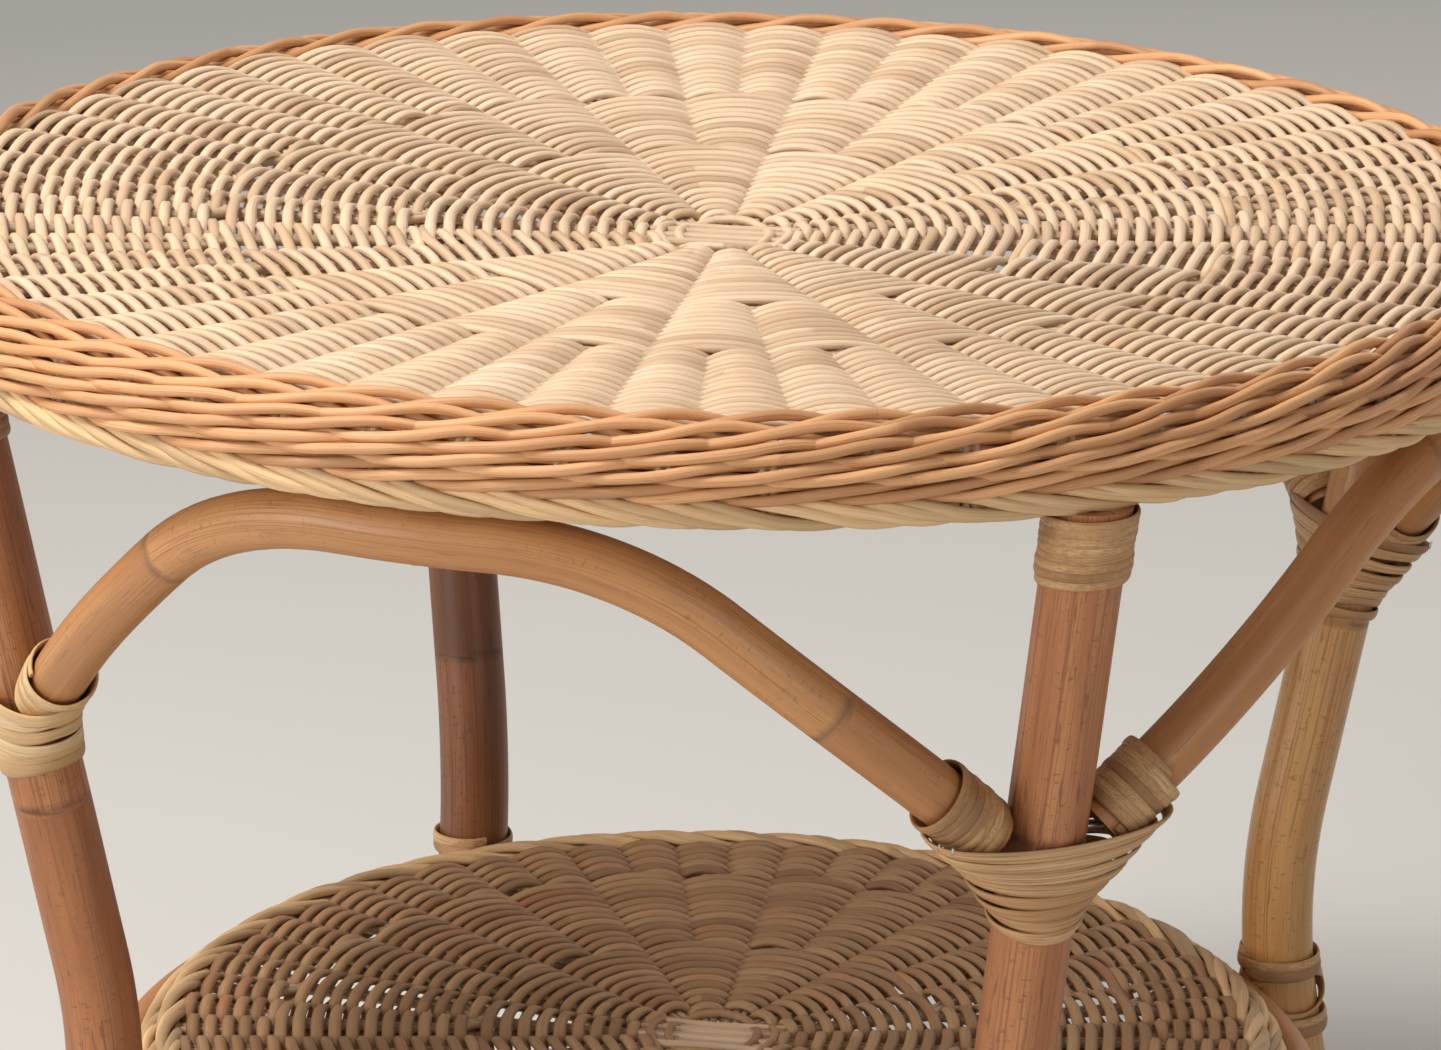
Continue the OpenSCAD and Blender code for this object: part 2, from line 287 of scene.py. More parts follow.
class Growth(Graph):
    """A Geometry Nodes tree with named inputs that grows swept strands."""

    def __init__(self, name, inputs):
        super().__init__(bpy.data.node_groups.new(name, "GeometryNodeTree"))
        face = self.tree.interface
        face.new_socket("Geometry", in_out="INPUT", socket_type="NodeSocketGeometry")
        for key, value in inputs.items():
            socket = face.new_socket(key, in_out="INPUT", socket_type=SOCKETS[type(value)])
            socket.default_value = value
        face.new_socket("Material", in_out="INPUT", socket_type="NodeSocketMaterial")
        face.new_socket("Geometry", in_out="OUTPUT", socket_type="NodeSocketGeometry")
        self.entry = self.node("NodeGroupInput")

    def __getitem__(self, name):
        return self.entry.of(name)

    def copies(self, count, curve):
        """That many curves, laid one on another and realized, ready to be set out by index."""
        points = self.node("GeometryNodePoints", inputs={"Count": count})
        made = self.node("GeometryNodeInstanceOnPoints", inputs={"Points": points, "Instance": curve})
        return self.node("GeometryNodeRealizeInstances", inputs={"Geometry": made})

    def circles(self, count, steps):
        return self.copies(count, self.node("GeometryNodeCurvePrimitiveCircle", {"mode": "RADIUS"}, {
            "Resolution": steps, "Radius": 1.0}))

    def place(self, geometry, x, y, z):
        return self.node("GeometryNodeSetPosition", inputs={
            "Geometry": geometry, "Position": self.xyz(x, y, z)})

    def keep(self, geometry, name, value):
        return self.node("GeometryNodeStoreNamedAttribute", {"data_type": "FLOAT", "domain": "POINT"}, {
            "Geometry": geometry, "Name": name, "Value": value})

    def kept(self, name):
        return self.node("GeometryNodeInputNamedAttribute", {"data_type": "FLOAT"}, {"Name": name})

    def chance(self, low, high, identity, seed):
        """A random number that stays the same for the same identity."""
        return self.node("FunctionNodeRandomValue", {"data_type": "FLOAT"},
                         {2: low, 3: high, "ID": identity, "Seed": seed}, output=1)

    def index(self):
        return self.node("GeometryNodeInputIndex")

    def sweep(self, curve, width, height, along, tone, sides, swell=None, level=True):
        """Sweeps an oval along the curves and stores how the grain runs, then ends the tree."""
        curve = self.keep(curve, "along", along)
        curve = self.keep(curve, "tone", tone)
        if swell is not None:
            curve = self.node("GeometryNodeSetCurveRadius", inputs={"Curve": curve, "Radius": swell})
        if level:
            curve = self.node("GeometryNodeSetCurveNormal", inputs={"Curve": curve})
            curve.socket.node.mode = "Z_UP"
        oval = self.node("GeometryNodeCurvePrimitiveCircle", {"mode": "RADIUS"}, {
            "Resolution": sides, "Radius": 0.5})
        oval = self.keep(oval, "around", self.index() * (TAU / sides))
        oval = self.node("GeometryNodeTransform", inputs={
            "Geometry": oval, "Scale": self.xyz(width, height, 1.0)})
        mesh = self.node("GeometryNodeCurveToMesh", inputs={
            "Curve": curve, "Profile Curve": oval, "Fill Caps": True})
        turned = self.kept("around")
        grain = self.xyz(self.kept("along"), turned.cos(), turned.sin())
        mesh = self.node("GeometryNodeStoreNamedAttribute",
                         {"data_type": "FLOAT_VECTOR", "domain": "POINT"},
                         {"Geometry": mesh, "Name": "grain", "Value": grain})
        mesh = self.node("GeometryNodeSetShadeSmooth", inputs={"Geometry": mesh})
        mesh = self.node("GeometryNodeRealizeInstances", inputs={"Geometry": mesh})
        mesh = self.node("GeometryNodeSetMaterial", inputs={"Geometry": mesh, "Material": self["Material"]})
        self.node("NodeGroupOutput", inputs={"Geometry": mesh})
        return self.tree


def dish_height(g, radius):
    """Height of a panel's middle layer at a radius."""
    return g["Middle"] - (g["Edge Radius"] - radius) * g["Dish"]


def weave_tree():
    """Plain weave: each ring goes over one stake and under the next, and its neighbour the reverse."""
    g = Growth("Plain weave", {
        "Rows": 20, "Stakes": 14, "Steps": 12, "Inner Radius": 0.02, "Row Pitch": 3.5 * MM,
        "Lift": 3.3 * MM, "Flatness": 0.4, "Cane Width": 3.6 * MM, "Cane Height": 3.4 * MM,
        "Edge Radius": 0.3, "Middle": 0.47, "Dish": 0.04, "Waver": 0.4 * MM, "Seed": 1})
    per_ring = g["Stakes"] * g["Steps"]
    rings = g.circles(g["Rows"], per_ring)
    index = g.index()
    row = ((index + 0.5) / per_ring).floor()
    angle = (index - row * per_ring) / per_ring * TAU
    stray = g.noise(g.xyz(angle.cos() * 3.0, angle.sin() * 3.0, row * 3.7 + g["Seed"]), 1.0, 2.0)
    loose = g.noise(g.xyz(angle.cos() * 9.0, angle.sin() * 9.0, row * 5.3 + g["Seed"]), 1.0, 1.0)
    radius = g["Inner Radius"] + (row + 0.5) * g["Row Pitch"] + (stray - 0.5) * g["Waver"] * 2.0
    over = (angle * g["Stakes"] / 2.0 + row * math.pi).sin()
    swing = over * (g["Flatness"] + 1.0) / (abs(over) * g["Flatness"] + 1.0)
    height = dish_height(g, radius) + swing * g["Lift"] + (loose - 0.5) * g["Waver"]
    radius = radius + (loose - 0.5) * g["Waver"]
    rings = g.place(rings, radius * angle.cos(), radius * angle.sin(), height)
    piece = (angle / TAU * 3.0 + g.chance(0.0, 7.0, row, g["Seed"])).floor() + row * 9.0
    tone = g.chance(0.0, 1.0, piece, g["Seed"])
    swell = 0.9 + 0.16 * g.chance(0.0, 1.0, piece, g["Seed"] + 5) + (stray - 0.5) * 0.25
    return g.sweep(rings, g["Cane Width"], g["Cane Height"], angle * radius + row * 0.7, tone, 6, swell)


def stake_tree():
    """Sticks that fan out from a centre in columns, and may turn down over a rounded edge."""
    g = Growth("Stakes", {
        "Columns": 14, "Sticks": 2, "Start": 0.02, "End": 0.1, "Gather": 1.0, "Gather Length": 0.02,
        "Side Gap": 3.3 * MM, "Stick Width": 3.2 * MM, "Edge Radius": 0.3, "Middle": 0.47,
        "Dish": 0.04, "Shoulder": 1.0, "Shoulder Radius": 0.01, "Seed": 1})
    steps = 22
    line = g.node("GeometryNodeCurvePrimitiveLine")
    line = g.node("GeometryNodeResampleCurve", inputs={"Curve": line, "Count": steps})
    sticks = g.copies(g["Columns"] * g["Sticks"], line)
    index = g.index()
    stick = ((index + 0.5) / steps).floor()
    share = (index - stick * steps) / (steps - 1.0)
    column = ((stick + 0.5) / g["Sticks"]).floor()
    mate = stick - column * g["Sticks"] - (g["Sticks"] - 1.0) / 2.0
    own = (column + 0.5) * TAU / g["Columns"]
    parent = ((column / 2.0).floor() + 0.5) * TAU / (g["Columns"] / 2.0)
    reach = g["Start"] + (g["End"] - g["Start"]) * share
    spread = g.between(reach, g["Start"], g["Start"] + g["Gather Length"])
    angle = own + (parent - own) * g["Gather"] * (1.0 - spread)
    stray = g.noise(g.xyz(stick * 1.7, reach * 30.0, g["Seed"] + 0.5), 1.0, 1.0)
    angle = angle + (mate * g["Side Gap"] + (stray - 0.5) * 1.2 * MM) / reach
    bend = ((reach - g["Shoulder"]) / g["Shoulder Radius"]).above(0.0).below(math.pi / 2)
    fall = (reach - g["Shoulder"] - g["Shoulder Radius"] * (math.pi / 2)).above(0.0)
    radius = reach.below(g["Shoulder"]) + g["Shoulder Radius"] * bend.sin() - fall * 0.1
    height = dish_height(g, reach.below(g["Shoulder"])) - g["Shoulder Radius"] * (1.0 - bend.cos()) - fall
    sticks = g.place(sticks, radius * angle.cos(), radius * angle.sin(), height)
    tone = g.chance(0.0, 1.0, stick, g["Seed"])
    return g.sweep(sticks, g["Stick Width"], g["Stick Width"], reach + stick * 0.31, tone, 6,
                   0.9 + 0.2 * tone)


def twist_tree():
    """Rods that wind round a ring: each passes outside some stakes and then inside the next."""
    g = Growth("Twisted row", {
        "Rods": 3, "Mates": 1, "Mate Lag": 0.35, "Twists": 19, "Steps": 18, "Ring Radius": 0.3,
        "Ring Height": 0.47, "Swing Out": 3.0 * MM, "Swing Up": 2.4 * MM, "Rake": 0.0, "Linger": 0.35,
        "Cane Width": 4.6 * MM, "Cane Height": 4.6 * MM, "Lay": 1.0, "Phase": 0.0,
        "Waver": 0.5 * MM, "Seed": 1})
    steps = g["Twists"] * g["Steps"]
    rings = g.circles(g["Rods"] * g["Mates"], steps)
    index = g.index()
    strand = ((index + 0.5) / steps).floor()
    angle = (index - strand * steps) / steps * TAU
    rod = ((strand + 0.5) / g["Mates"]).floor()
    mate = strand - rod * g["Mates"] - (g["Mates"] - 1.0) / 2.0
    stray = g.noise(g.xyz(angle.cos() * 6.0, angle.sin() * 6.0, strand * 3.1 + g["Seed"]), 1.0, 2.0)
    lag = g.noise(g.xyz(angle.cos() * 8.0, angle.sin() * 8.0, strand * 1.3 + g["Seed"] + 40.0), 1.0, 1.0)
    phase = angle * g["Twists"] * g["Lay"] + rod / g["Rods"] * TAU + g["Phase"]
    phase = phase + mate * g["Mate Lag"] + (lag - 0.5) * 0.9
    phase = phase - phase.sin() * g["Linger"]
    out = phase.cos() * g["Swing Out"] + (stray - 0.5) * g["Waver"] * 2.0
    up = phase.sin() * g["Swing Up"] + (lag - 0.5) * g["Waver"] * 2.0
    radius = g["Ring Radius"] + out * g["Rake"].cos() + up * g["Rake"].sin()
    height = g["Ring Height"] + up * g["Rake"].cos() - out * g["Rake"].sin()
    rings = g.place(rings, radius * angle.cos(), radius * angle.sin(), height)
    piece = (angle / TAU * 5.0 + g.chance(0.0, 7.0, strand, g["Seed"])).floor() + strand * 11.0
    tone = g.chance(0.0, 1.0, piece, g["Seed"])
    swell = 0.9 + 0.2 * g.chance(0.0, 1.0, piece, g["Seed"] + 5) + (stray - 0.5) * 0.2
    return g.sweep(rings, g["Cane Width"], g["Cane Height"], angle * radius + strand * 0.9, tone, 8, swell)


def pole_tree():
    """A rattan pole along a path, a little crooked, with a raised ring at each of its joints."""
    g = Growth("Rattan pole", {
        "Thickness": 28 * MM, "Joint Spacing": 0.23, "First Joint": 0.1, "Joint Swell": 0.03,
        "Crook": 0.6 * MM, "Seed": 1})
    curve = g.node("GeometryNodeMeshToCurve", inputs={"Mesh": g["Geometry"]})
    curve = g.node("GeometryNodeResampleCurve", {"mode": "LENGTH"}, {"Curve": curve, "Length": 3 * MM})
    along = g.node("GeometryNodeSplineParameter").of("Length")
    place = g.node("GeometryNodeInputPosition")
    crook = g.noise(place, 9.0, 1.0)
    shift = g.node("ShaderNodeVectorMath", {"operation": "SUBTRACT"}, {
        0: crook.of("Color"), 1: (0.5, 0.5, 0.5)})
    shift = g.node("ShaderNodeVectorMath", {"operation": "SCALE"}, {0: shift, "Scale": g["Crook"] * 2.0})
    curve = g.node("GeometryNodeSetPosition", inputs={"Geometry": curve, "Offset": shift})
    near = (along - g["First Joint"] + g["Joint Spacing"] / 2.0) % g["Joint Spacing"]
    near = abs(near - g["Joint Spacing"] / 2.0)
    ring = 1.0 - g.between(near, 0.0, 5 * MM)
    ledge = 1.0 - g.between(near, 0.8 * MM, 1.8 * MM)
    lumps = g.noise(place, 22.0, 2.0)
    swell = 0.985 + lumps * 0.03 + ring * g["Joint Swell"] * 0.6 + ledge * g["Joint Swell"] * 0.5
    curve = g.keep(curve, "joint", ledge)
    stretch = ((along - g["First Joint"]) / g["Joint Spacing"]).floor() + 9.0
    tone = g.chance(0.0, 1.0, stretch, g["Seed"])
    return g.sweep(curve, g["Thickness"], g["Thickness"], along, tone, 32, swell, level=False)


def wrap_tree():
    """Turns of flat peel wound up a straight pole along Z."""
    g = Growth("Peel wrap", {
        "Length": 0.025, "Core": 10 * MM, "Flare": 0.0, "Turns": 6, "Peel Width": 4.4 * MM,
        "Peel Thickness": 1.6 * MM, "Waver": 0.5 * MM, "Seed": 1})
    steps = 40
    coil = g.node("GeometryNodeCurveSpiral", inputs={
        "Resolution": steps, "Rotations": g["Turns"] * 1.0, "Start Radius": 1.0, "End Radius": 1.0,
        "Height": 1.0})
    share = g.index() / (g["Turns"] * steps * 1.0)
    angle = share * g["Turns"] * TAU + math.pi
    turn_number = (share * g["Turns"]).floor()
    slack = g.chance(0.0, 1.0, turn_number, g["Seed"])
    stray = g.noise(g.xyz(angle * 0.35, g["Seed"] * 1.7, 0.0), 1.0, 2.0)
    radius = g["Core"] + g["Peel Thickness"] * 0.5 + g["Flare"] * share + (stray - 0.3) * g["Waver"]
    tucked = 1.0 - g.between(share, 0.0, 0.03) + g.between(share, 0.97, 1.0)
    radius = radius + slack * 0.5 * MM - tucked * g["Peel Thickness"]
    height = share * g["Length"] + (stray - 0.5) * g["Waver"] * 1.6
    coil = g.place(coil, radius * angle.cos(), radius * angle.sin(), height)
    tone = g.between(g.noise(g.xyz(angle * 0.3, g["Seed"] * 3.3, 5.0), 1.0, 1.0), 0.3, 0.7)
    return g.sweep(coil, g["Peel Thickness"], g["Peel Width"], angle * radius, tone, 10,
                   0.92 + 0.16 * slack)


def basket_tree():
    """Bands of peel round a leg and two brace ends, wide at the top and close to the leg below."""
    g = Growth("Joint basket", {
        "Bands": 8, "Low": -0.022, "High": 0.016, "Leg": 15 * MM, "Reach": 45 * MM, "Squareness": 0.8,
        "Tip Lift": 4 * MM, "Peel Width": 6.4 * MM, "Peel Thickness": 1.6 * MM, "Waver": 0.8 * MM,
        "Tight": 0.9, "Spread": 1.25, "Tip Tilt": 0.5, "Seed": 1})
    steps = 72
    loops = g.circles(g["Bands"], steps)
    index = g.index()
    band = ((index + 0.5) / steps).floor()
    angle = (index - band * steps) / steps * TAU - math.pi
    share = (band + 0.5) / g["Bands"]
    slack = g.chance(-1.0, 1.0, band, g["Seed"])
    stray = g.noise(g.xyz(angle.cos() * 1.5, angle.sin() * 1.5, band * 2.3 + g["Seed"]), 1.0, 2.0)
    long = g["Leg"] + (g["Reach"] - g["Leg"]) * (share - 0.12).above(0.0) ** g["Tight"] * g["Spread"]
    square = 1.0 - (1.0 - g["Squareness"]) * share * share
    front = g.maths("SIGN", angle.cos()) * abs(angle.cos()) ** square
    side = angle.sin()
    out = g["Peel Thickness"] * 0.5 + (stray - 0.4) * g["Waver"]
    height = g["Low"] + (g["High"] - g["Low"]) * share + side * side * g["Tip Lift"] * share
    slant = side * slack * share * (1.0 - share) * 11 * MM
    height = height + slant + (stray - 0.5) * g["Waver"]
    loops = g.place(loops, front * (g["Leg"] + out), side * (long + out), height)
    loops = g.node("GeometryNodeSetCurveTilt", inputs={"Curve": loops, "Tilt": side * side * g["Tip Tilt"]})
    tone = g.chance(0.0, 1.0, band + 2.0, g["Seed"])
    return g.sweep(loops, g["Peel Thickness"], g["Peel Width"], angle * 0.03 + band, tone, 10,
                   0.92 + 0.14 * slack)


# ---------------------------------------------------------------- growing and placing pieces

def grown(tree, values, path=None):
    """The plain mesh that a tree grows with these values, starting from a path if it takes one."""
    base = bpy.data.objects.new("seedling", path or bpy.data.meshes.new("seedling"))
    bpy.context.scene.collection.objects.link(base)
    modifier = base.modifiers.new("Grow", "NODES")
    modifier.node_group = tree
    for item in tree.interface.items_tree:
        if item.item_type == "SOCKET" and item.in_out == "INPUT" and item.name in values:
            modifier[item.identifier] = values[item.name]
    bpy.context.view_layer.update()
    depsgraph = bpy.context.evaluated_depsgraph_get()
    mesh = bpy.data.meshes.new_from_object(base.evaluated_get(depsgraph), depsgraph=depsgraph)
    bpy.data.objects.remove(base)
    return mesh


def joined(meshes):
    """One mesh from several."""
    objects = []
    for mesh in meshes:
        obj = bpy.data.objects.new("part", mesh)
        bpy.context.scene.collection.objects.link(obj)
        objects.append(obj)
    if len(objects) > 1:
        with bpy.context.temp_override(active_object=objects[0], object=objects[0],
                                       selected_objects=objects, selected_editable_objects=objects):
            bpy.ops.object.join()
    mesh = objects[0].data
    bpy.data.objects.remove(objects[0])
    return mesh


def moved(mesh, place):
    mesh.transform(place)
    return mesh


def piece(name, mesh, slot, replaces=()):
    """Makes a mesh a finished piece that rides on the table and stands for its nodes."""
    mesh.name = name
    obj = bpy.data.objects.new(name, mesh)
    bpy.context.scene.collection.objects.link(obj)
    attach(obj, "root")
    if replaces:
        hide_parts(*replaces)
    return obj


def path_mesh(points, closed=False):
    mesh = bpy.data.meshes.new("path")
    edges = [(i, i + 1) for i in range(len(points) - 1)]
    if closed:
        edges.append((len(points) - 1, 0))
    mesh.from_pydata([tuple(p) for p in points], edges, [])
    return mesh


def cut_level(mesh, height, keep_above):
    """Cuts a mesh at a height and closes it with a flat face."""
    bm = bmesh.new()
    bm.from_mesh(mesh)
    cut = bmesh.ops.bisect_plane(
        bm, geom=bm.verts[:] + bm.edges[:] + bm.faces[:], plane_co=(0, 0, height),
        plane_no=(0, 0, 1), clear_inner=keep_above, clear_outer=not keep_above)
    edges = [e for e in cut["geom_cut"] if isinstance(e, bmesh.types.BMEdge)]
    bmesh.ops.contextual_create(bm, geom=edges)
    bm.to_mesh(mesh)
    bm.free()
    return mesh


# ---------------------------------------------------------------- materials

class Finish(Graph):
    """A material with one Principled shader, wired from expressions."""

    def __init__(self, name):
        self.material = bpy.data.materials.new(name)
        self.material.use_nodes = True
        super().__init__(self.material.node_tree)
        self.shader = self.tree.nodes["Principled BSDF"]

    def attribute(self, name, output="Fac"):
        return self.node("ShaderNodeAttribute", {"attribute_name": name}).of(output)

    def feed(self, **inputs):
        for name, value in inputs.items():
            socket = self.shader.inputs[name.replace("_", " ")]
            if isinstance(value, Wire):
                self.tree.links.new(value.socket, socket)
            else:
                socket.default_value = value

    def bump(self, height, depth, strength=1.0):
        return self.node("ShaderNodeBump", inputs={
            "Height": height, "Distance": depth, "Strength": strength})

    def split_grain(self):
        """How far along the strand, and the two coordinates of the place round it."""
        parts = self.node("ShaderNodeSeparateXYZ", inputs={0: self.attribute("grain", "Vector")})
        return parts, parts.of("Y"), parts.of("Z")


def cane(name, dark, middle, light, blush, gloss=0.5, blush_share=0.35, streaks=0.45):
    """Split or whole cane: streaks along the strand, a tone for each strand and rusty patches."""
    f = Finish(name)
    along, across, over = f.split_grain()
    tone = f.attribute("tone")
    fibre = f.noise(f.xyz(along * 22.0, across * 8.0 + tone * 31.0, over * 8.0), 1.0, 3.0, 0.65)
    cloud = f.noise(f.xyz(along * 11.0, tone * 57.0, 0.0), 1.0, 2.0)
    patch = f.noise(f.xyz(along * 19.0, tone * 23.0, over * 0.6), 1.0, 2.0)
    base = f.node("ShaderNodeValToRGB", {"stops": [(0.0, dark), (0.45, middle), (1.0, light)]}, {
        "Fac": tone * 0.8 + cloud * 0.55 - 0.16})
    colour = f.mix(f.between(fibre, 0.46, 0.66) * streaks, base, (*dark, 1))
    rust = f.between(patch, 0.56, 0.74) * blush_share
    colour = f.mix(rust, colour, (*blush, 1))
    colour = f.mix(f.between(fibre, 0.4, 0.25) * 0.35, colour, (*light, 1))
    fleck = f.noise(f.xyz(along * 75.0, across * 2.5 + tone * 17.0, over * 2.5), 1.0, 1.0)
    colour = f.mix(f.between(fleck, 0.68, 0.74) * 0.55, colour, (*blush, 1))
    lines = f.noise(f.xyz(along * 14.0, across * 11.0 + tone * 9.0, over * 11.0), 1.0, 2.0)
    colour = f.mix(f.between(lines, 0.52, 0.62) * streaks * 0.7, colour, (*dark, 1))
    f.feed(Base_Color=colour, Roughness=gloss + fibre * 0.22, Normal=f.bump(lines, 0.35 * MM, 0.55),
           Coat_Weight=0.08, Coat_Roughness=0.35)
    return f.material


def rattan(name, dark, middle, light, joint, gloss=0.4, coat=0.12, scars=0.5):
    """A rattan pole: long fine grain, darker pores, scars and stained rings at its joints."""
    f = Finish(name)
    along, across, over = f.split_grain()
    tone = f.attribute("tone")
    ring = f.attribute("joint")
    grain = f.noise(f.xyz(along * 6.0, across * 16.0 + tone * 13.0, over * 16.0), 1.0, 4.0, 0.75)
    pores = f.noise(f.xyz(along * 70.0, across * 40.0 + tone * 7.0, over * 40.0), 1.0, 2.0, 0.6)
    broad = f.noise(f.xyz(along * 6.0, across * 1.1 + tone * 5.0, over * 1.1), 1.0, 3.0)
    specks = f.noise(f.xyz(along * 60.0, across * 9.0 + 3.0, over * 9.0 + tone), 1.0, 1.0)
    base = f.node("ShaderNodeValToRGB", {"stops": [(0.32, dark), (0.5, middle), (0.68, light)]}, {
        "Fac": broad * 0.62 + grain * 0.38 + (tone - 0.5) * 0.16})
    colour = f.mix(f.between(grain, 0.49, 0.6) * 0.85, base, (*dark, 1))
    colour = f.mix(f.between(grain, 0.42, 0.3) * 0.4, colour, (*light, 1))
    colour = f.mix(f.between(pores, 0.58, 0.72) * 0.5, colour, (*joint, 1))
    colour = f.mix(f.between(specks, 0.65, 0.72) * scars, colour, (*joint, 1))
    cracks = f.noise(f.xyz(along * 700.0, across * 4.0 + tone * 11.0, over * 4.0), 1.0, 2.0)
    colour = f.mix(f.between(cracks, 0.6, 0.7) * f.between(broad, 0.4, 0.6) * scars, colour, (*joint, 1))
    torn = f.noise(f.xyz(along * 9.0, across * 0.9 + tone * 3.0, over * 0.9), 1.0, 2.0)
    colour = f.mix(ring * (0.35 + f.between(torn, 0.42, 0.55) * 0.6), colour, (*joint, 1))
    height = grain * 0.6 + pores * 0.4
    f.feed(Base_Color=colour, Roughness=gloss + grain * 0.2, Normal=f.bump(height, 0.3 * MM, 0.5),
           Coat_Weight=coat, Coat_Roughness=0.22)
    return f.material


def steel_wire(name):
    """Bright drawn wire with fine scratches and a little tarnish."""
    f = Finish(name)
    place = f.node("ShaderNodeTexCoord").of("Object")
    fine = f.noise(place, 900.0, 2.0)
    broad = f.noise(place, 60.0, 2.0)
    colour = f.mix(f.between(broad, 0.45, 0.7), (0.72, 0.72, 0.7, 1), (0.5, 0.47, 0.42, 1))
    f.feed(Base_Color=colour, Metallic=1.0, Roughness=0.22 + fine * 0.25,
           Normal=f.bump(fine, 0.05 * MM, 0.4))
    return f.material


def floor_paper(name):
    """Pale seamless paper with the faintest mottle."""
    f = Finish(name)
    place = f.node("ShaderNodeTexCoord").of("Object")
    mottle = f.noise(place, 3.0, 3.0)
    colour = f.mix(mottle * 0.3, (0.62, 0.62, 0.61, 1), (0.59, 0.59, 0.58, 1))
    f.feed(Base_Color=colour, Roughness=0.85)
    return f.material


# ---------------------------------------------------------------- what a user would change

class WickerSizes(bpy.types.PropertyGroup):
    """Sizes of the canes, rods and peel."""
    row_pitch: FloatProperty(
        name="Row pitch", description="Distance between two rings of weave", default=3.5 * MM,
        unit="LENGTH")
    cane: FloatProperty(
        name="Weaving cane", description="Thickness of the cane that fills the panels",
        default=3.7 * MM, unit="LENGTH")
    stick: FloatProperty(
        name="Stake", description="Thickness of one stake", default=3.3 * MM, unit="LENGTH")
    rod: FloatProperty(
        name="Skirt rod", description="Thickness of the rods twisted round the skirt",
        default=4.0 * MM, unit="LENGTH")
    border_rod: FloatProperty(
        name="Border rod", description="Thickness of the rods plaited into the border",
        default=4.5 * MM, unit="LENGTH")
    peel: FloatProperty(
        name="Peel width", description="Width of the flat peel in the joint bindings",
        default=5.2 * MM, unit="LENGTH")
    skirt_rows: IntProperty(
        name="Skirt rows", description="Rows of rods round the skirt", default=5, min=1, max=8)


class WickerColours(bpy.types.PropertyGroup):
    """Main colours of the canes and poles."""
    pale: FloatVectorProperty(
        name="Top cane", description="Straw of the top's weave", subtype="COLOR", size=3,
        default=(0.735, 0.545, 0.375))
    skirt: FloatVectorProperty(
        name="Skirt rods", description="Orange tan of the skirt", subtype="COLOR", size=3,
        default=(0.64, 0.33, 0.15))
    border: FloatVectorProperty(
        name="Border rods", description="Greenish straw of the border", subtype="COLOR", size=3,
        default=(0.70, 0.47, 0.25))
    shelf: FloatVectorProperty(
        name="Shelf cane", description="Brown straw of the shelf", subtype="COLOR", size=3,
        default=(0.40, 0.235, 0.115))
    pole: FloatVectorProperty(
        name="Poles", description="Tan of the braces and hoops", subtype="COLOR", size=3,
        default=(0.49, 0.23, 0.085))


def shade(colour, factor, warm=0.0):
    """A darker or lighter version of a colour, and redder where warm is above 0."""
    red, green, blue = colour
    return (min(1, red * factor * (1 + warm)), min(1, green * factor), min(1, blue * factor * (1 - warm)))


def finishes():
    """Materials by name, made the first time that they are asked for."""
    made = bpy.data.materials
    if "cane pale" in made:
        return made
    c = bpy.context.scene.wicker_colours
    pale, skirt, border, shelf, pole = (tuple(x) for x in (c.pale, c.skirt, c.border, c.shelf, c.pole))
    cane("cane pale", shade(pale, 0.62, 0.1), pale, shade(pale, 1.18, -0.05), (0.60, 0.30, 0.11))
    cane("cane stakes", shade(pale, 0.5, 0.05), shade(pale, 0.75), shade(pale, 1.0), (0.5, 0.27, 0.1))
    cane("cane skirt", shade(skirt, 0.5, 0.1), skirt, shade(skirt, 1.35, -0.06), (0.42, 0.16, 0.05), 0.42)
    cane("cane border", shade(border, 0.55), border, shade(border, 1.22), (0.5, 0.3, 0.12), 0.45, 0.3)
    cane("cane shelf", shade(shelf, 0.6, 0.1), shelf, shade(shelf, 1.3, -0.05), (0.45, 0.17, 0.08), 0.5, 0.5)
    cane("peel tan", (0.26, 0.13, 0.055), (0.52, 0.29, 0.125), (0.70, 0.45, 0.23),
         (0.34, 0.18, 0.09), 0.36, 0.3, 0.85)
    cane("peel straw", (0.42, 0.25, 0.11), (0.66, 0.44, 0.22), (0.78, 0.58, 0.34),
         (0.5, 0.3, 0.13), 0.4, 0.2, 0.7)
    rattan("pole tan", shade(pole, 0.72, 0.08), pole, shade(pole, 1.25, -0.05), (0.24, 0.12, 0.06))
    rattan("pole red", (0.27, 0.095, 0.035), (0.42, 0.165, 0.062), (0.54, 0.25, 0.105), (0.11, 0.04, 0.02))
    rattan("pole honey", (0.36, 0.165, 0.05), (0.48, 0.24, 0.075), (0.60, 0.34, 0.13), (0.2, 0.09, 0.035),
           0.3, 0.3)
    # the back-left leg: its own darker brown, and painted shade for the shadow that leg stands in
    rattan("pole brown", (0.12, 0.042, 0.016), (0.225, 0.082, 0.029), (0.32, 0.13, 0.05), (0.06, 0.02, 0.011))
    steel_wire("steel wire")
    floor_paper("floor paper")
    return made


# ---------------------------------------------------------------- the pieces

# How far the crossed sticks are turned from the X axis, in degrees
CROSS_TURN = 12

# For each zone of a panel: name, columns, steps between stakes, share of the radius where it ends
# and how flat the cane lies between two crossings
TOP_ZONES = (("inner", 14, 22, 0.39, 1.4), ("middle", 28, 12, 0.64, 0.7), ("outer", 56, 8, 1.0, 0.25))
SHELF_ZONES = (("inner", 14, 18, 0.45, 1.4), ("middle", 28, 10, 0.82, 0.7), ("outer", 56, 8, 1.0, 0.25))


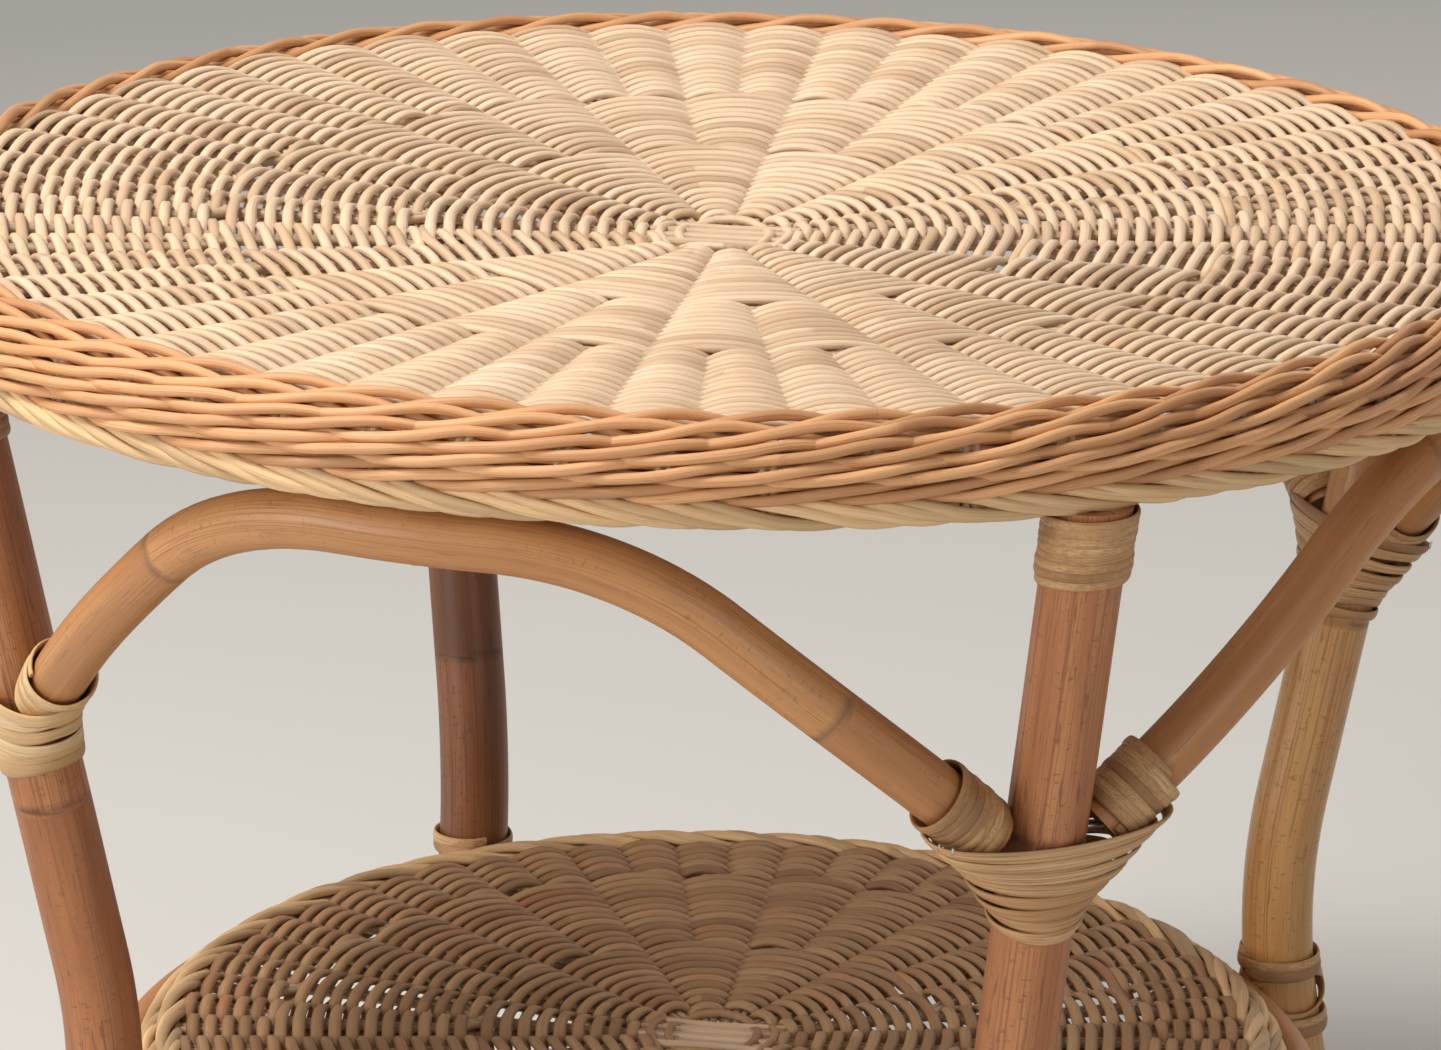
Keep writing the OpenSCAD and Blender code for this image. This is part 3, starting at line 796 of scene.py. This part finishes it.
def weave_panel(name, panel, zones, material, slot, seed, fill):
    """Weaves a panel zone by zone: the columns double from one zone to the next."""
    sizes = bpy.context.scene.wicker_sizes
    tree = weave_tree()
    common = {"Edge Radius": panel.edge, "Dish": panel.slope(), "Material": finishes()[material]}
    ties = grown(tree, {
        **common, "Rows": 3, "Stakes": 4, "Steps": 44, "Inner Radius": 0.62 * panel.cross,
        "Row Pitch": sizes.row_pitch, "Lift": 3.9 * MM, "Flatness": 0.9, "Cane Width": sizes.cane,
        "Cane Height": sizes.cane * 0.9, "Middle": panel.middle - 0.6 * MM, "Waver": 0.7 * MM,
        "Seed": seed + 7})
    piece(name + "_weave_ties", moved(ties, turn(CROSS_TURN - 45)), slot)
    start = panel.cross + 1 * MM
    for number, (zone, columns, steps, end_share, flatness) in enumerate(zones):
        end = panel.edge * end_share
        rows = round((end - start) / sizes.row_pitch)
        mesh = grown(tree, {
            **common, "Rows": rows, "Stakes": columns, "Steps": steps, "Inner Radius": start,
            "Row Pitch": (end - start) / rows, "Lift": (panel.stake + sizes.cane) / 2 * 0.94,
            "Flatness": flatness, "Cane Width": sizes.cane * fill, "Cane Height": sizes.cane * 0.92,
            "Middle": panel.middle, "Waver": 0.55 * MM, "Seed": seed + number})
        piece(f"{name}_weave_{zone}", mesh, slot,
              (name + "_weave_face", name + "_weave_back") if number == 0 else ())
        start = end


def fan_stakes(name, panel, zones, skirt, slot, seed):
    """Stakes under the weave, with the crossed base sticks and the ends that turn down."""
    sizes = bpy.context.scene.wicker_sizes
    tree = stake_tree()
    common = {"Stick Width": sizes.stick, "Edge Radius": panel.edge, "Middle": panel.middle,
              "Dish": panel.slope(), "Seed": seed, "Material": finishes()["cane stakes"]}
    meshes = []
    start = panel.cross - 6 * MM
    for number, (_, columns, _, end_share, _) in enumerate(zones):
        end = panel.edge * end_share
        meshes.append(grown(tree, {
            **common, "Columns": columns, "Sticks": 2, "Start": start, "End": end + 4 * MM,
            "Gather": float(number > 0), "Gather Length": 22 * MM, "Side Gap": sizes.stick * 1.02}))
        start = end - 8 * MM
    replaced = [name + "_stakes", name + "_cross"]
    if skirt:
        meshes.append(grown(tree, {
            **common, "Columns": 57, "Sticks": 2, "Start": panel.edge - 6 * MM,
            "End": panel.edge + 33 * MM, "Gather": 0.0, "Side Gap": sizes.stick * 1.05,
            "Shoulder": panel.edge + 3 * MM, "Shoulder Radius": 11 * MM}))
        replaced.append("skirt_stakes")
    meshes.append(cross_sticks(panel, sizes.stick))
    piece(name + "_sticks", joined(meshes), slot, replaced)


def cross_sticks(panel, thick):
    """The two crossed layers of parallel sticks in the middle of a panel."""
    tree = pole_tree()
    meshes = []
    reach = panel.cross + 4 * MM
    for layer in (0, 1):
        for i in range(-3, 4):
            y = i * thick * 1.08
            half = math.sqrt(reach ** 2 - y ** 2)
            z = panel.middle - panel.sag + thick * (0.3 - layer) + (i % 2) * 0.7 * MM
            line = [Vector((x * half, y * (1 + 0.12 * abs(x)), z)) for x in (-1, -0.5, 0, 0.5, 1)]
            mesh = grown(tree, {
                "Thickness": thick, "Joint Spacing": 0.3, "First Joint": 0.2, "Crook": 0.5 * MM,
                "Seed": 3 + i + layer * 7, "Material": finishes()["cane stakes"]}, path_mesh(line))
            meshes.append(moved(mesh, turn(CROSS_TURN + 90 * layer)))
    return joined(meshes)


def twisted_rings(rows, material, base):
    """Rings of twisted rods: each row is (radius, height, rake, phase)."""
    tree = twist_tree()
    meshes = []
    for number, (radius, height, rake, phase) in enumerate(rows):
        meshes.append(grown(tree, {
            **base, "Ring Radius": radius, "Ring Height": height, "Rake": rake, "Phase": phase,
            "Seed": base["Seed"] + number, "Material": finishes()[material]}))
    return joined(meshes)


class TopWeave(bpy.types.Operator):
    """Weave the pale top over its stakes"""
    bl_idname = "wicker.top_weave"
    bl_label = "Top weave"

    def execute(self, context):
        weave_panel("top", TOP, TOP_ZONES, "cane pale", "wicker_pale", 11, 1.2)
        fan_stakes("top", TOP, TOP_ZONES, True, "wicker_pale", 5)
        return {"FINISHED"}


class Skirt(bpy.types.Operator):
    """Twist the rows of rods round the skirt"""
    bl_idname = "wicker.skirt"
    bl_label = "Skirt"

    def execute(self, context):
        sizes = context.scene.wicker_sizes
        swing = 3.5 * MM
        pitch = 6.7 * MM
        shoulder = 14 * MM
        centre = (RIM_R - sizes.rod / 2 - swing - shoulder, TABLE_H - sizes.rod / 2 - 1.0 * MM - shoulder)
        step = 2 * math.asin(pitch / 2 / shoulder)
        last_bent = 3
        tuck = 0.14     # how steeply the straight part of the skirt draws in
        rows = []
        for i in range(sizes.skirt_rows):
            angle = math.radians(2) + min(i, last_bent) * step
            over = max(0, i - last_bent) * pitch
            radius = centre[0] + shoulder * math.sin(angle) - over * tuck
            height = centre[1] + shoulder * math.cos(angle) - over
            rake = math.pi / 2 - angle if i <= last_bent else -tuck
            rows.append((radius, height, rake, 0.5 * i))
        mesh = twisted_rings(rows, "cane skirt", {
            "Rods": 3, "Mates": 1, "Twists": 19, "Steps": 18, "Swing Out": swing, "Swing Up": 2.7 * MM,
            "Linger": 0.2, "Cane Width": sizes.rod, "Cane Height": sizes.rod, "Lay": 1.0,
            "Waver": 0.5 * MM, "Seed": 21})
        piece("top_skirt_rows", mesh, "wicker_tan", ["top_wale"])
        return {"FINISHED"}


class TopBorder(bpy.types.Operator):
    """Plait the pale border under the skirt"""
    bl_idname = "wicker.top_border"
    bl_label = "Top border"

    def execute(self, context):
        rod = context.scene.wicker_sizes.border_rod
        radius, height, _ = BORDER
        mesh = twisted_rings([(radius + 1.2 * MM, height + 1.4 * MM, -0.3, 0.0)], "cane border", {
            "Rods": 3, "Mates": 2, "Mate Lag": 0.85, "Twists": 19, "Steps": 20, "Swing Out": 3.4 * MM,
            "Swing Up": 4.1 * MM, "Linger": 0.15, "Cane Width": rod, "Cane Height": rod,
            "Lay": -1.0, "Waver": 0.5 * MM, "Seed": 41})
        piece("top_border_plait", mesh, "wicker_pale", ["top_border"])
        return {"FINISHED"}


class ShelfWeave(bpy.types.Operator):
    """Weave the shelf over its stakes"""
    bl_idname = "wicker.shelf_weave"
    bl_label = "Shelf weave"

    def execute(self, context):
        weave_panel("shelf", SHELF, SHELF_ZONES, "cane shelf", "wicker_brown", 61, 1.36)
        fan_stakes("shelf", SHELF, SHELF_ZONES, False, "wicker_brown", 67)
        return {"FINISHED"}


class ShelfBorder(bpy.types.Operator):
    """Plait the border round the shelf"""
    bl_idname = "wicker.shelf_border"
    bl_label = "Shelf border"

    def execute(self, context):
        rod = context.scene.wicker_sizes.border_rod
        inner = (SHELF.edge + 4 * MM, SHELF_RIM_Z - 4.5 * MM)
        outer = (SHELF_RIM_R - 4.6 * MM, SHELF_RIM_Z - 10.5 * MM)
        lower = (SHELF_RIM_R - 4.0 * MM, SHELF_RIM_Z - 17.5 * MM)
        base = {"Rods": 3, "Mates": 2, "Mate Lag": 0.6, "Twists": 14, "Steps": 20, "Swing Out": 2.9 * MM,
                "Swing Up": 3.0 * MM, "Linger": 0.3, "Cane Width": rod, "Cane Height": rod * 0.9,
                "Lay": -1.0, "Waver": 0.5 * MM, "Seed": 71}
        mesh = twisted_rings([(*inner, 1.2, 0.0), (*outer, 0.1, 0.9), (*lower, -0.2, 1.8)],
                             "cane border", base)
        piece("shelf_border_plait", mesh, "wicker_brown", ["shelf_border"])
        return {"FINISHED"}


class Hoops(bpy.types.Operator):
    """Bend the hoops that carry the top and the shelf"""
    bl_idname = "wicker.hoops"
    bl_label = "Hoops"

    def execute(self, context):
        tree = pole_tree()
        for name, (radius, height, thick) in (("top_hoop", TOP_HOOP), ("shelf_hoop", SHELF_HOOP)):
            count = 180
            points = [Vector((radius * math.cos(TAU * i / count), radius * math.sin(TAU * i / count),
                              height)) for i in range(count)]
            mesh = grown(tree, {
                "Thickness": thick * 0.99, "Joint Spacing": TAU * radius / 7, "First Joint": 0.05,
                "Joint Swell": 0.02, "Crook": 0.3 * MM, "Seed": 2 if name == "top_hoop" else 4,
                "Material": finishes()["pole tan"]}, path_mesh(points, closed=True))
            piece(name + "_pole", mesh, "rattan_hoop", [name])
        return {"FINISHED"}


# The joint basket: half its width, how square its bands are, how far their tips lift and lean out,
# and where it begins and ends above the joint
BASKET_REACH = 44 * MM
BASKET_SQUARE = 0.66
BASKET_LIFT = 3 * MM
BASKET_TILT = 0.7
BASKET_LOW = -19 * MM
BASKET_HIGH = 20 * MM


def basket_rim(angle):
    """Place on the outer face of a basket's top band: X out of the band, Z up."""
    def point(a):
        c, s = math.cos(a), math.sin(a)
        return Vector((math.copysign(abs(c) ** BASKET_SQUARE, c) * (LEG_R + 2.3 * MM),
                       s * (BASKET_REACH + 1.8 * MM),
                       BASKET_HIGH - 2.5 * MM + s * s * BASKET_LIFT))
    along = point(angle + 0.02) - point(angle - 0.02)
    out = Vector((along.y, -along.x, 0)).normalized()
    up = Vector((0, 0, 1))
    place = Matrix((out, up.cross(out), up)).transposed().to_4x4()
    place.translation = point(angle)
    return place @ Matrix.Rotation(BASKET_TILT * math.sin(angle) ** 2, 4, "Y")


# Each leg's finish, its first joint from the foot and the seed of its crooks. The back-left leg's dark brown
# is partly its own colour and partly painted shade
LEG_FINISH = {"front_right": ("pole red", 0.10, 3), "back_right": ("pole honey", 0.30, 5),
              "back_left": ("pole brown", 0.238, 8), "front_left": ("pole red", 0.054, 12)}


class Legs(bpy.types.Operator):
    """Bend the four legs"""
    bl_idname = "wicker.legs"
    bl_label = "Legs"

    def execute(self, context):
        tree = pole_tree()
        spare = 12 * MM     # at each end, sawn off below
        count = 60
        heights = [-spare + (LEG_HEAD + 2 * spare) * i / count for i in range(count + 1)]
        for name, degrees in LEGS.items():
            finish, first, seed = LEG_FINISH[name]
            points = [turn(degrees - 90) @ Vector((leg_radius(z), 0, z)) for z in heights]
            mesh = grown(tree, {
                "Thickness": 2 * LEG_R, "Joint Spacing": 0.24, "First Joint": first, "Joint Swell": 0.035,
                "Crook": 0.5 * MM, "Seed": seed, "Material": finishes()[finish]}, path_mesh(points))
            cut_level(mesh, 0.0, keep_above=True)
            cut_level(mesh, LEG_HEAD, keep_above=False)
            mesh.set_sharp_from_angle(angle=math.radians(50))
            piece("leg_" + name + "_pole", mesh, "rattan_leg", ["leg_" + name])
        return {"FINISHED"}


class Braces(bpy.types.Operator):
    """Bend the four arched braces"""
    bl_idname = "wicker.braces"
    bl_label = "Braces"

    def execute(self, context):
        tree = pole_tree()
        count = 90
        path = [brace_point(-BRACE_END + 2 * BRACE_END * i / count) for i in range(count + 1)]
        for number, (name, degrees) in enumerate(BRACES.items()):
            mesh = grown(tree, {
                "Thickness": 2 * BRACE_R, "Joint Spacing": 0.27, "First Joint": 0.13 + 0.05 * number,
                "Joint Swell": 0.012, "Crook": 0.5 * MM, "Seed": 20 + number,
                "Material": finishes()["pole tan"]},
                path_mesh([turn(degrees) @ p for p in path]))
            mesh.set_sharp_from_angle(angle=math.radians(50))
            piece("arch_" + name + "_pole", mesh, "rattan_arch", ["arch_" + name])
        return {"FINISHED"}


# Length of the wrap on a leg's top and on a brace's end
WRAP_LENGTH = 25 * MM


class Wraps(bpy.types.Operator):
    """Wind peel round the legs' tops and the braces' ends"""
    bl_idname = "wicker.wraps"
    bl_label = "Wraps"

    def execute(self, context):
        tree = wrap_tree()
        low = LEG_HEAD - WRAP_LENGTH - 2.0 * MM
        for number, (name, degrees) in enumerate(LEGS.items()):
            mesh = grown(tree, {
                "Length": WRAP_LENGTH, "Core": LEG_R + 0.4 * MM, "Turns": 8, "Peel Width": 4.0 * MM,
                "Peel Thickness": 1.5 * MM, "Waver": 0.7 * MM, "Seed": 90 + number,
                "Material": finishes()["peel tan"]})
            piece("top_binding_" + name + "_peel", moved(mesh, level_on_leg(degrees, low)), "peel",
                  ["top_binding_" + name])
        for number, (name, degrees) in enumerate(BRACES.items()):
            for letter, side in (("a", -1), ("b", 1)):
                end = brace_point(side * (BRACE_END - 2 * MM))
                inner = brace_point(side * (BRACE_END - 2 * MM - WRAP_LENGTH * math.cos(BRACE_SLOPE)))
                aim = (inner - end).to_track_quat("Z", "Y").to_matrix().to_4x4()
                mesh = grown(tree, {
                    "Length": (inner - end).length, "Core": BRACE_R + 0.2 * MM, "Flare": 1.0 * MM,
                    "Turns": 7, "Peel Width": 4.5 * MM, "Peel Thickness": 1.5 * MM, "Waver": 0.9 * MM,
                    "Seed": 100 + number * 2 + (side > 0),
                    "Material": finishes()["peel straw" if name == "front" and side < 0 else "peel tan"]})
                place = turn(degrees) @ Matrix.Translation(end) @ aim
                piece(f"arch_wrap_{name}_{letter}_peel", moved(mesh, place), "peel",
                      [f"arch_wrap_{name}_{letter}"])
        return {"FINISHED"}


class JointBindings(bpy.types.Operator):
    """Bind each leg and its two brace ends in a basket of peel"""
    bl_idname = "wicker.joint_bindings"
    bl_label = "Joint bindings"

    def execute(self, context):
        peel = context.scene.wicker_sizes.peel
        tree = basket_tree()
        for number, (name, degrees) in enumerate(LEGS.items()):
            straw = name == "front_left"
            mesh = grown(tree, {
                "Bands": 6 if straw else 8, "Low": BASKET_LOW + (8 * MM if straw else 0),
                "High": BASKET_HIGH, "Leg": LEG_R + 0.5 * MM,
                "Reach": BASKET_REACH, "Squareness": BASKET_SQUARE, "Tip Lift": BASKET_LIFT,
                "Tip Tilt": BASKET_TILT,
                "Peel Width": peel * (1.45 if straw else 1), "Waver": 1.0 * MM, "Tight": 1.1,
                "Seed": 130 + number, "Material": finishes()["peel straw" if straw else "peel tan"]})
            piece("joint_binding_" + name + "_peel", moved(mesh, on_leg(degrees, JOINT_Z)), "peel",
                  ["joint_binding_" + name])
        return {"FINISHED"}


class ShelfBindings(bpy.types.Operator):
    """Bind the shelf's hoop to each leg"""
    bl_idname = "wicker.shelf_bindings"
    bl_label = "Shelf bindings"

    def execute(self, context):
        tree = wrap_tree()
        radius, height, thick = SHELF_HOOP
        peel = {"Turns": 2, "Peel Width": 5 * MM, "Peel Thickness": 1.5 * MM, "Waver": 0.5 * MM,
                "Material": finishes()["peel tan"]}
        for number, (name, degrees) in enumerate(LEGS.items()):
            meshes = []
            for low in (height + thick / 2 + 1 * MM, height - thick / 2 - 9 * MM):
                mesh = grown(tree, {
                    **peel, "Length": 7 * MM, "Core": LEG_R + 0.6 * MM, "Seed": 150 + number})
                meshes.append(moved(mesh, on_leg(degrees, low, 0.0)))
            for tilt in (-38, 38):
                mesh = grown(tree, {
                    **peel, "Length": 3 * MM, "Core": LEG_R + 1.5 * MM, "Seed": 160 + number})
                lean = Matrix.Rotation(math.radians(tilt), 4, "X")
                meshes.append(moved(mesh, on_leg(degrees, height, 0.0) @ lean))
            piece("shelf_binding_" + name + "_peel", joined(meshes), "peel", ["shelf_binding_" + name])
        return {"FINISHED"}


class Fasteners(bpy.types.Operator):
    """Finish the nails and bend the wire staples"""
    bl_idname = "wicker.fasteners"
    bl_label = "Fasteners"

    def execute(self, context):
        steel = finishes()["steel wire"]
        for name in ("hoop_nails", "crown_nails", "joint_nails", "shelf_nails"):
            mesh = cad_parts[name].data
            mesh.materials.clear()
            mesh.materials.append(steel)
        tree = pole_tree()
        half = 2.3 * MM     # of a staple's length
        leg = 1.2 * MM
        staple = [Vector((x * leg - leg, 0, z * half)) for x, z in (
            (0, -1), (0.9, -1), (1, -0.85), (1, 0.85), (0.9, 1), (0, 1))]
        meshes = []
        for degrees in LEGS.values():
            for angle in (-62, -74):
                mesh = grown(tree, {
                    "Thickness": 0.9 * MM, "Joint Spacing": 1.0, "First Joint": 0.5, "Crook": 0.0,
                    "Joint Swell": 0.0, "Seed": 1, "Material": steel},
                    path_mesh(staple))
                meshes.append(moved(mesh, on_leg(degrees, JOINT_Z) @ basket_rim(math.radians(angle))))
        piece("staple_wires", joined(meshes), "steel", ["staples"])
        return {"FINISHED"}


class Stage(bpy.types.Operator):
    """Set up the floor, the soft lights and the camera"""
    bl_idname = "wicker.stage"
    bl_label = "Stage"

    def execute(self, context):
        scene = context.scene
        scene.view_settings.view_transform = "Standard"
        paper = bpy.data.meshes.new("floor")
        half = 30.0
        paper.from_pydata([(-half, -half, 0), (half, -half, 0), (half, half, 0), (-half, half, 0)], [],
                          [(0, 1, 2, 3)])
        paper.materials.append(finishes()["floor paper"])
        floor = bpy.data.objects.new("floor", paper)
        scene.collection.objects.link(floor)
        self.light("key", (-0.9, -0.6, 2.1), 0.8, 44)
        self.light("fill left", (-1.6, -2.3, 1.0), 1.0, 38)
        self.light("fill right", (2.2, -1.6, 1.0), 1.0, 12)
        self.light("back", (0.6, 2.2, 1.8), 1.4, 14)
        world = bpy.data.worlds.new("studio")
        world.use_nodes = True
        scene.world = world
        sky = world.node_tree.nodes["Background"]
        sky.inputs["Color"].default_value = (1.0, 0.95, 0.89, 1)
        sky.inputs["Strength"].default_value = 0.3
        self.camera(scene)
        return {"FINISHED"}

    @staticmethod
    def light(name, place, size, power):
        lamp = bpy.data.lights.new(name, "AREA")
        lamp.size = size
        lamp.energy = power
        lamp.color = (1.0, 0.95, 0.88)
        obj = bpy.data.objects.new(name, lamp)
        obj.location = place
        obj.rotation_euler = (Vector((0, 0, 0.3)) - Vector(place)).to_track_quat("-Z", "Y").to_euler()
        bpy.context.scene.collection.objects.link(obj)

    @staticmethod
    def camera(scene):
        """Looks down at the rim from the front right, 2.4 m away with a long lens."""
        azimuth = math.radians(20.8)
        distance = 7.529 * RIM_R
        rise = 1.921 * RIM_R
        pitch = math.radians(90) - 0.2997
        roll = 0.0145
        lens = bpy.data.cameras.new("camera")
        lens.sensor_width = 36
        lens.lens = 164.5
        obj = bpy.data.objects.new("camera", lens)
        obj.matrix_world = (
            Matrix.Translation((distance * math.sin(azimuth), -distance * math.cos(azimuth),
                                TOP.rim_z + rise))
            @ Matrix.Rotation(azimuth, 4, "Z") @ Matrix.Rotation(pitch, 4, "X")
            @ Matrix.Rotation(roll, 4, "Z"))
        scene.collection.objects.link(obj)
        scene.camera = obj


OPERATORS = (TopWeave, Skirt, TopBorder, ShelfWeave, ShelfBorder, Hoops, Legs, Braces, Wraps,
             JointBindings, ShelfBindings, Fasteners, Stage)


class WickerPanel(bpy.types.Panel):
    """Lists the table's sizes, colours and makers"""
    bl_idname = "WICKER_PT_table"
    bl_label = "Wicker Coffee Table"
    bl_space_type = "VIEW_3D"
    bl_region_type = "UI"
    bl_category = "Wicker"

    def draw(self, context):
        for group in (context.scene.wicker_sizes, context.scene.wicker_colours):
            column = self.layout.column(align=True)
            for name in group.bl_rna.properties.keys():
                if name not in ("rna_type", "name"):
                    column.prop(group, name)
        for maker in OPERATORS:
            self.layout.operator(maker.bl_idname)


CLASSES = (WickerSizes, WickerColours, *OPERATORS, WickerPanel)


def register():
    for cls in CLASSES:
        bpy.utils.register_class(cls)
    bpy.types.Scene.wicker_sizes = PointerProperty(type=WickerSizes)
    bpy.types.Scene.wicker_colours = PointerProperty(type=WickerColours)


def unregister():
    del bpy.types.Scene.wicker_colours
    del bpy.types.Scene.wicker_sizes
    for cls in reversed(CLASSES):
        bpy.utils.unregister_class(cls)


def main():
    """Registers the add-on and makes every piece in order."""
    register()
    for maker in OPERATORS:
        group, name = maker.bl_idname.split(".")
        getattr(getattr(bpy.ops, group), name)()


if __name__ == "__main__":
    main()
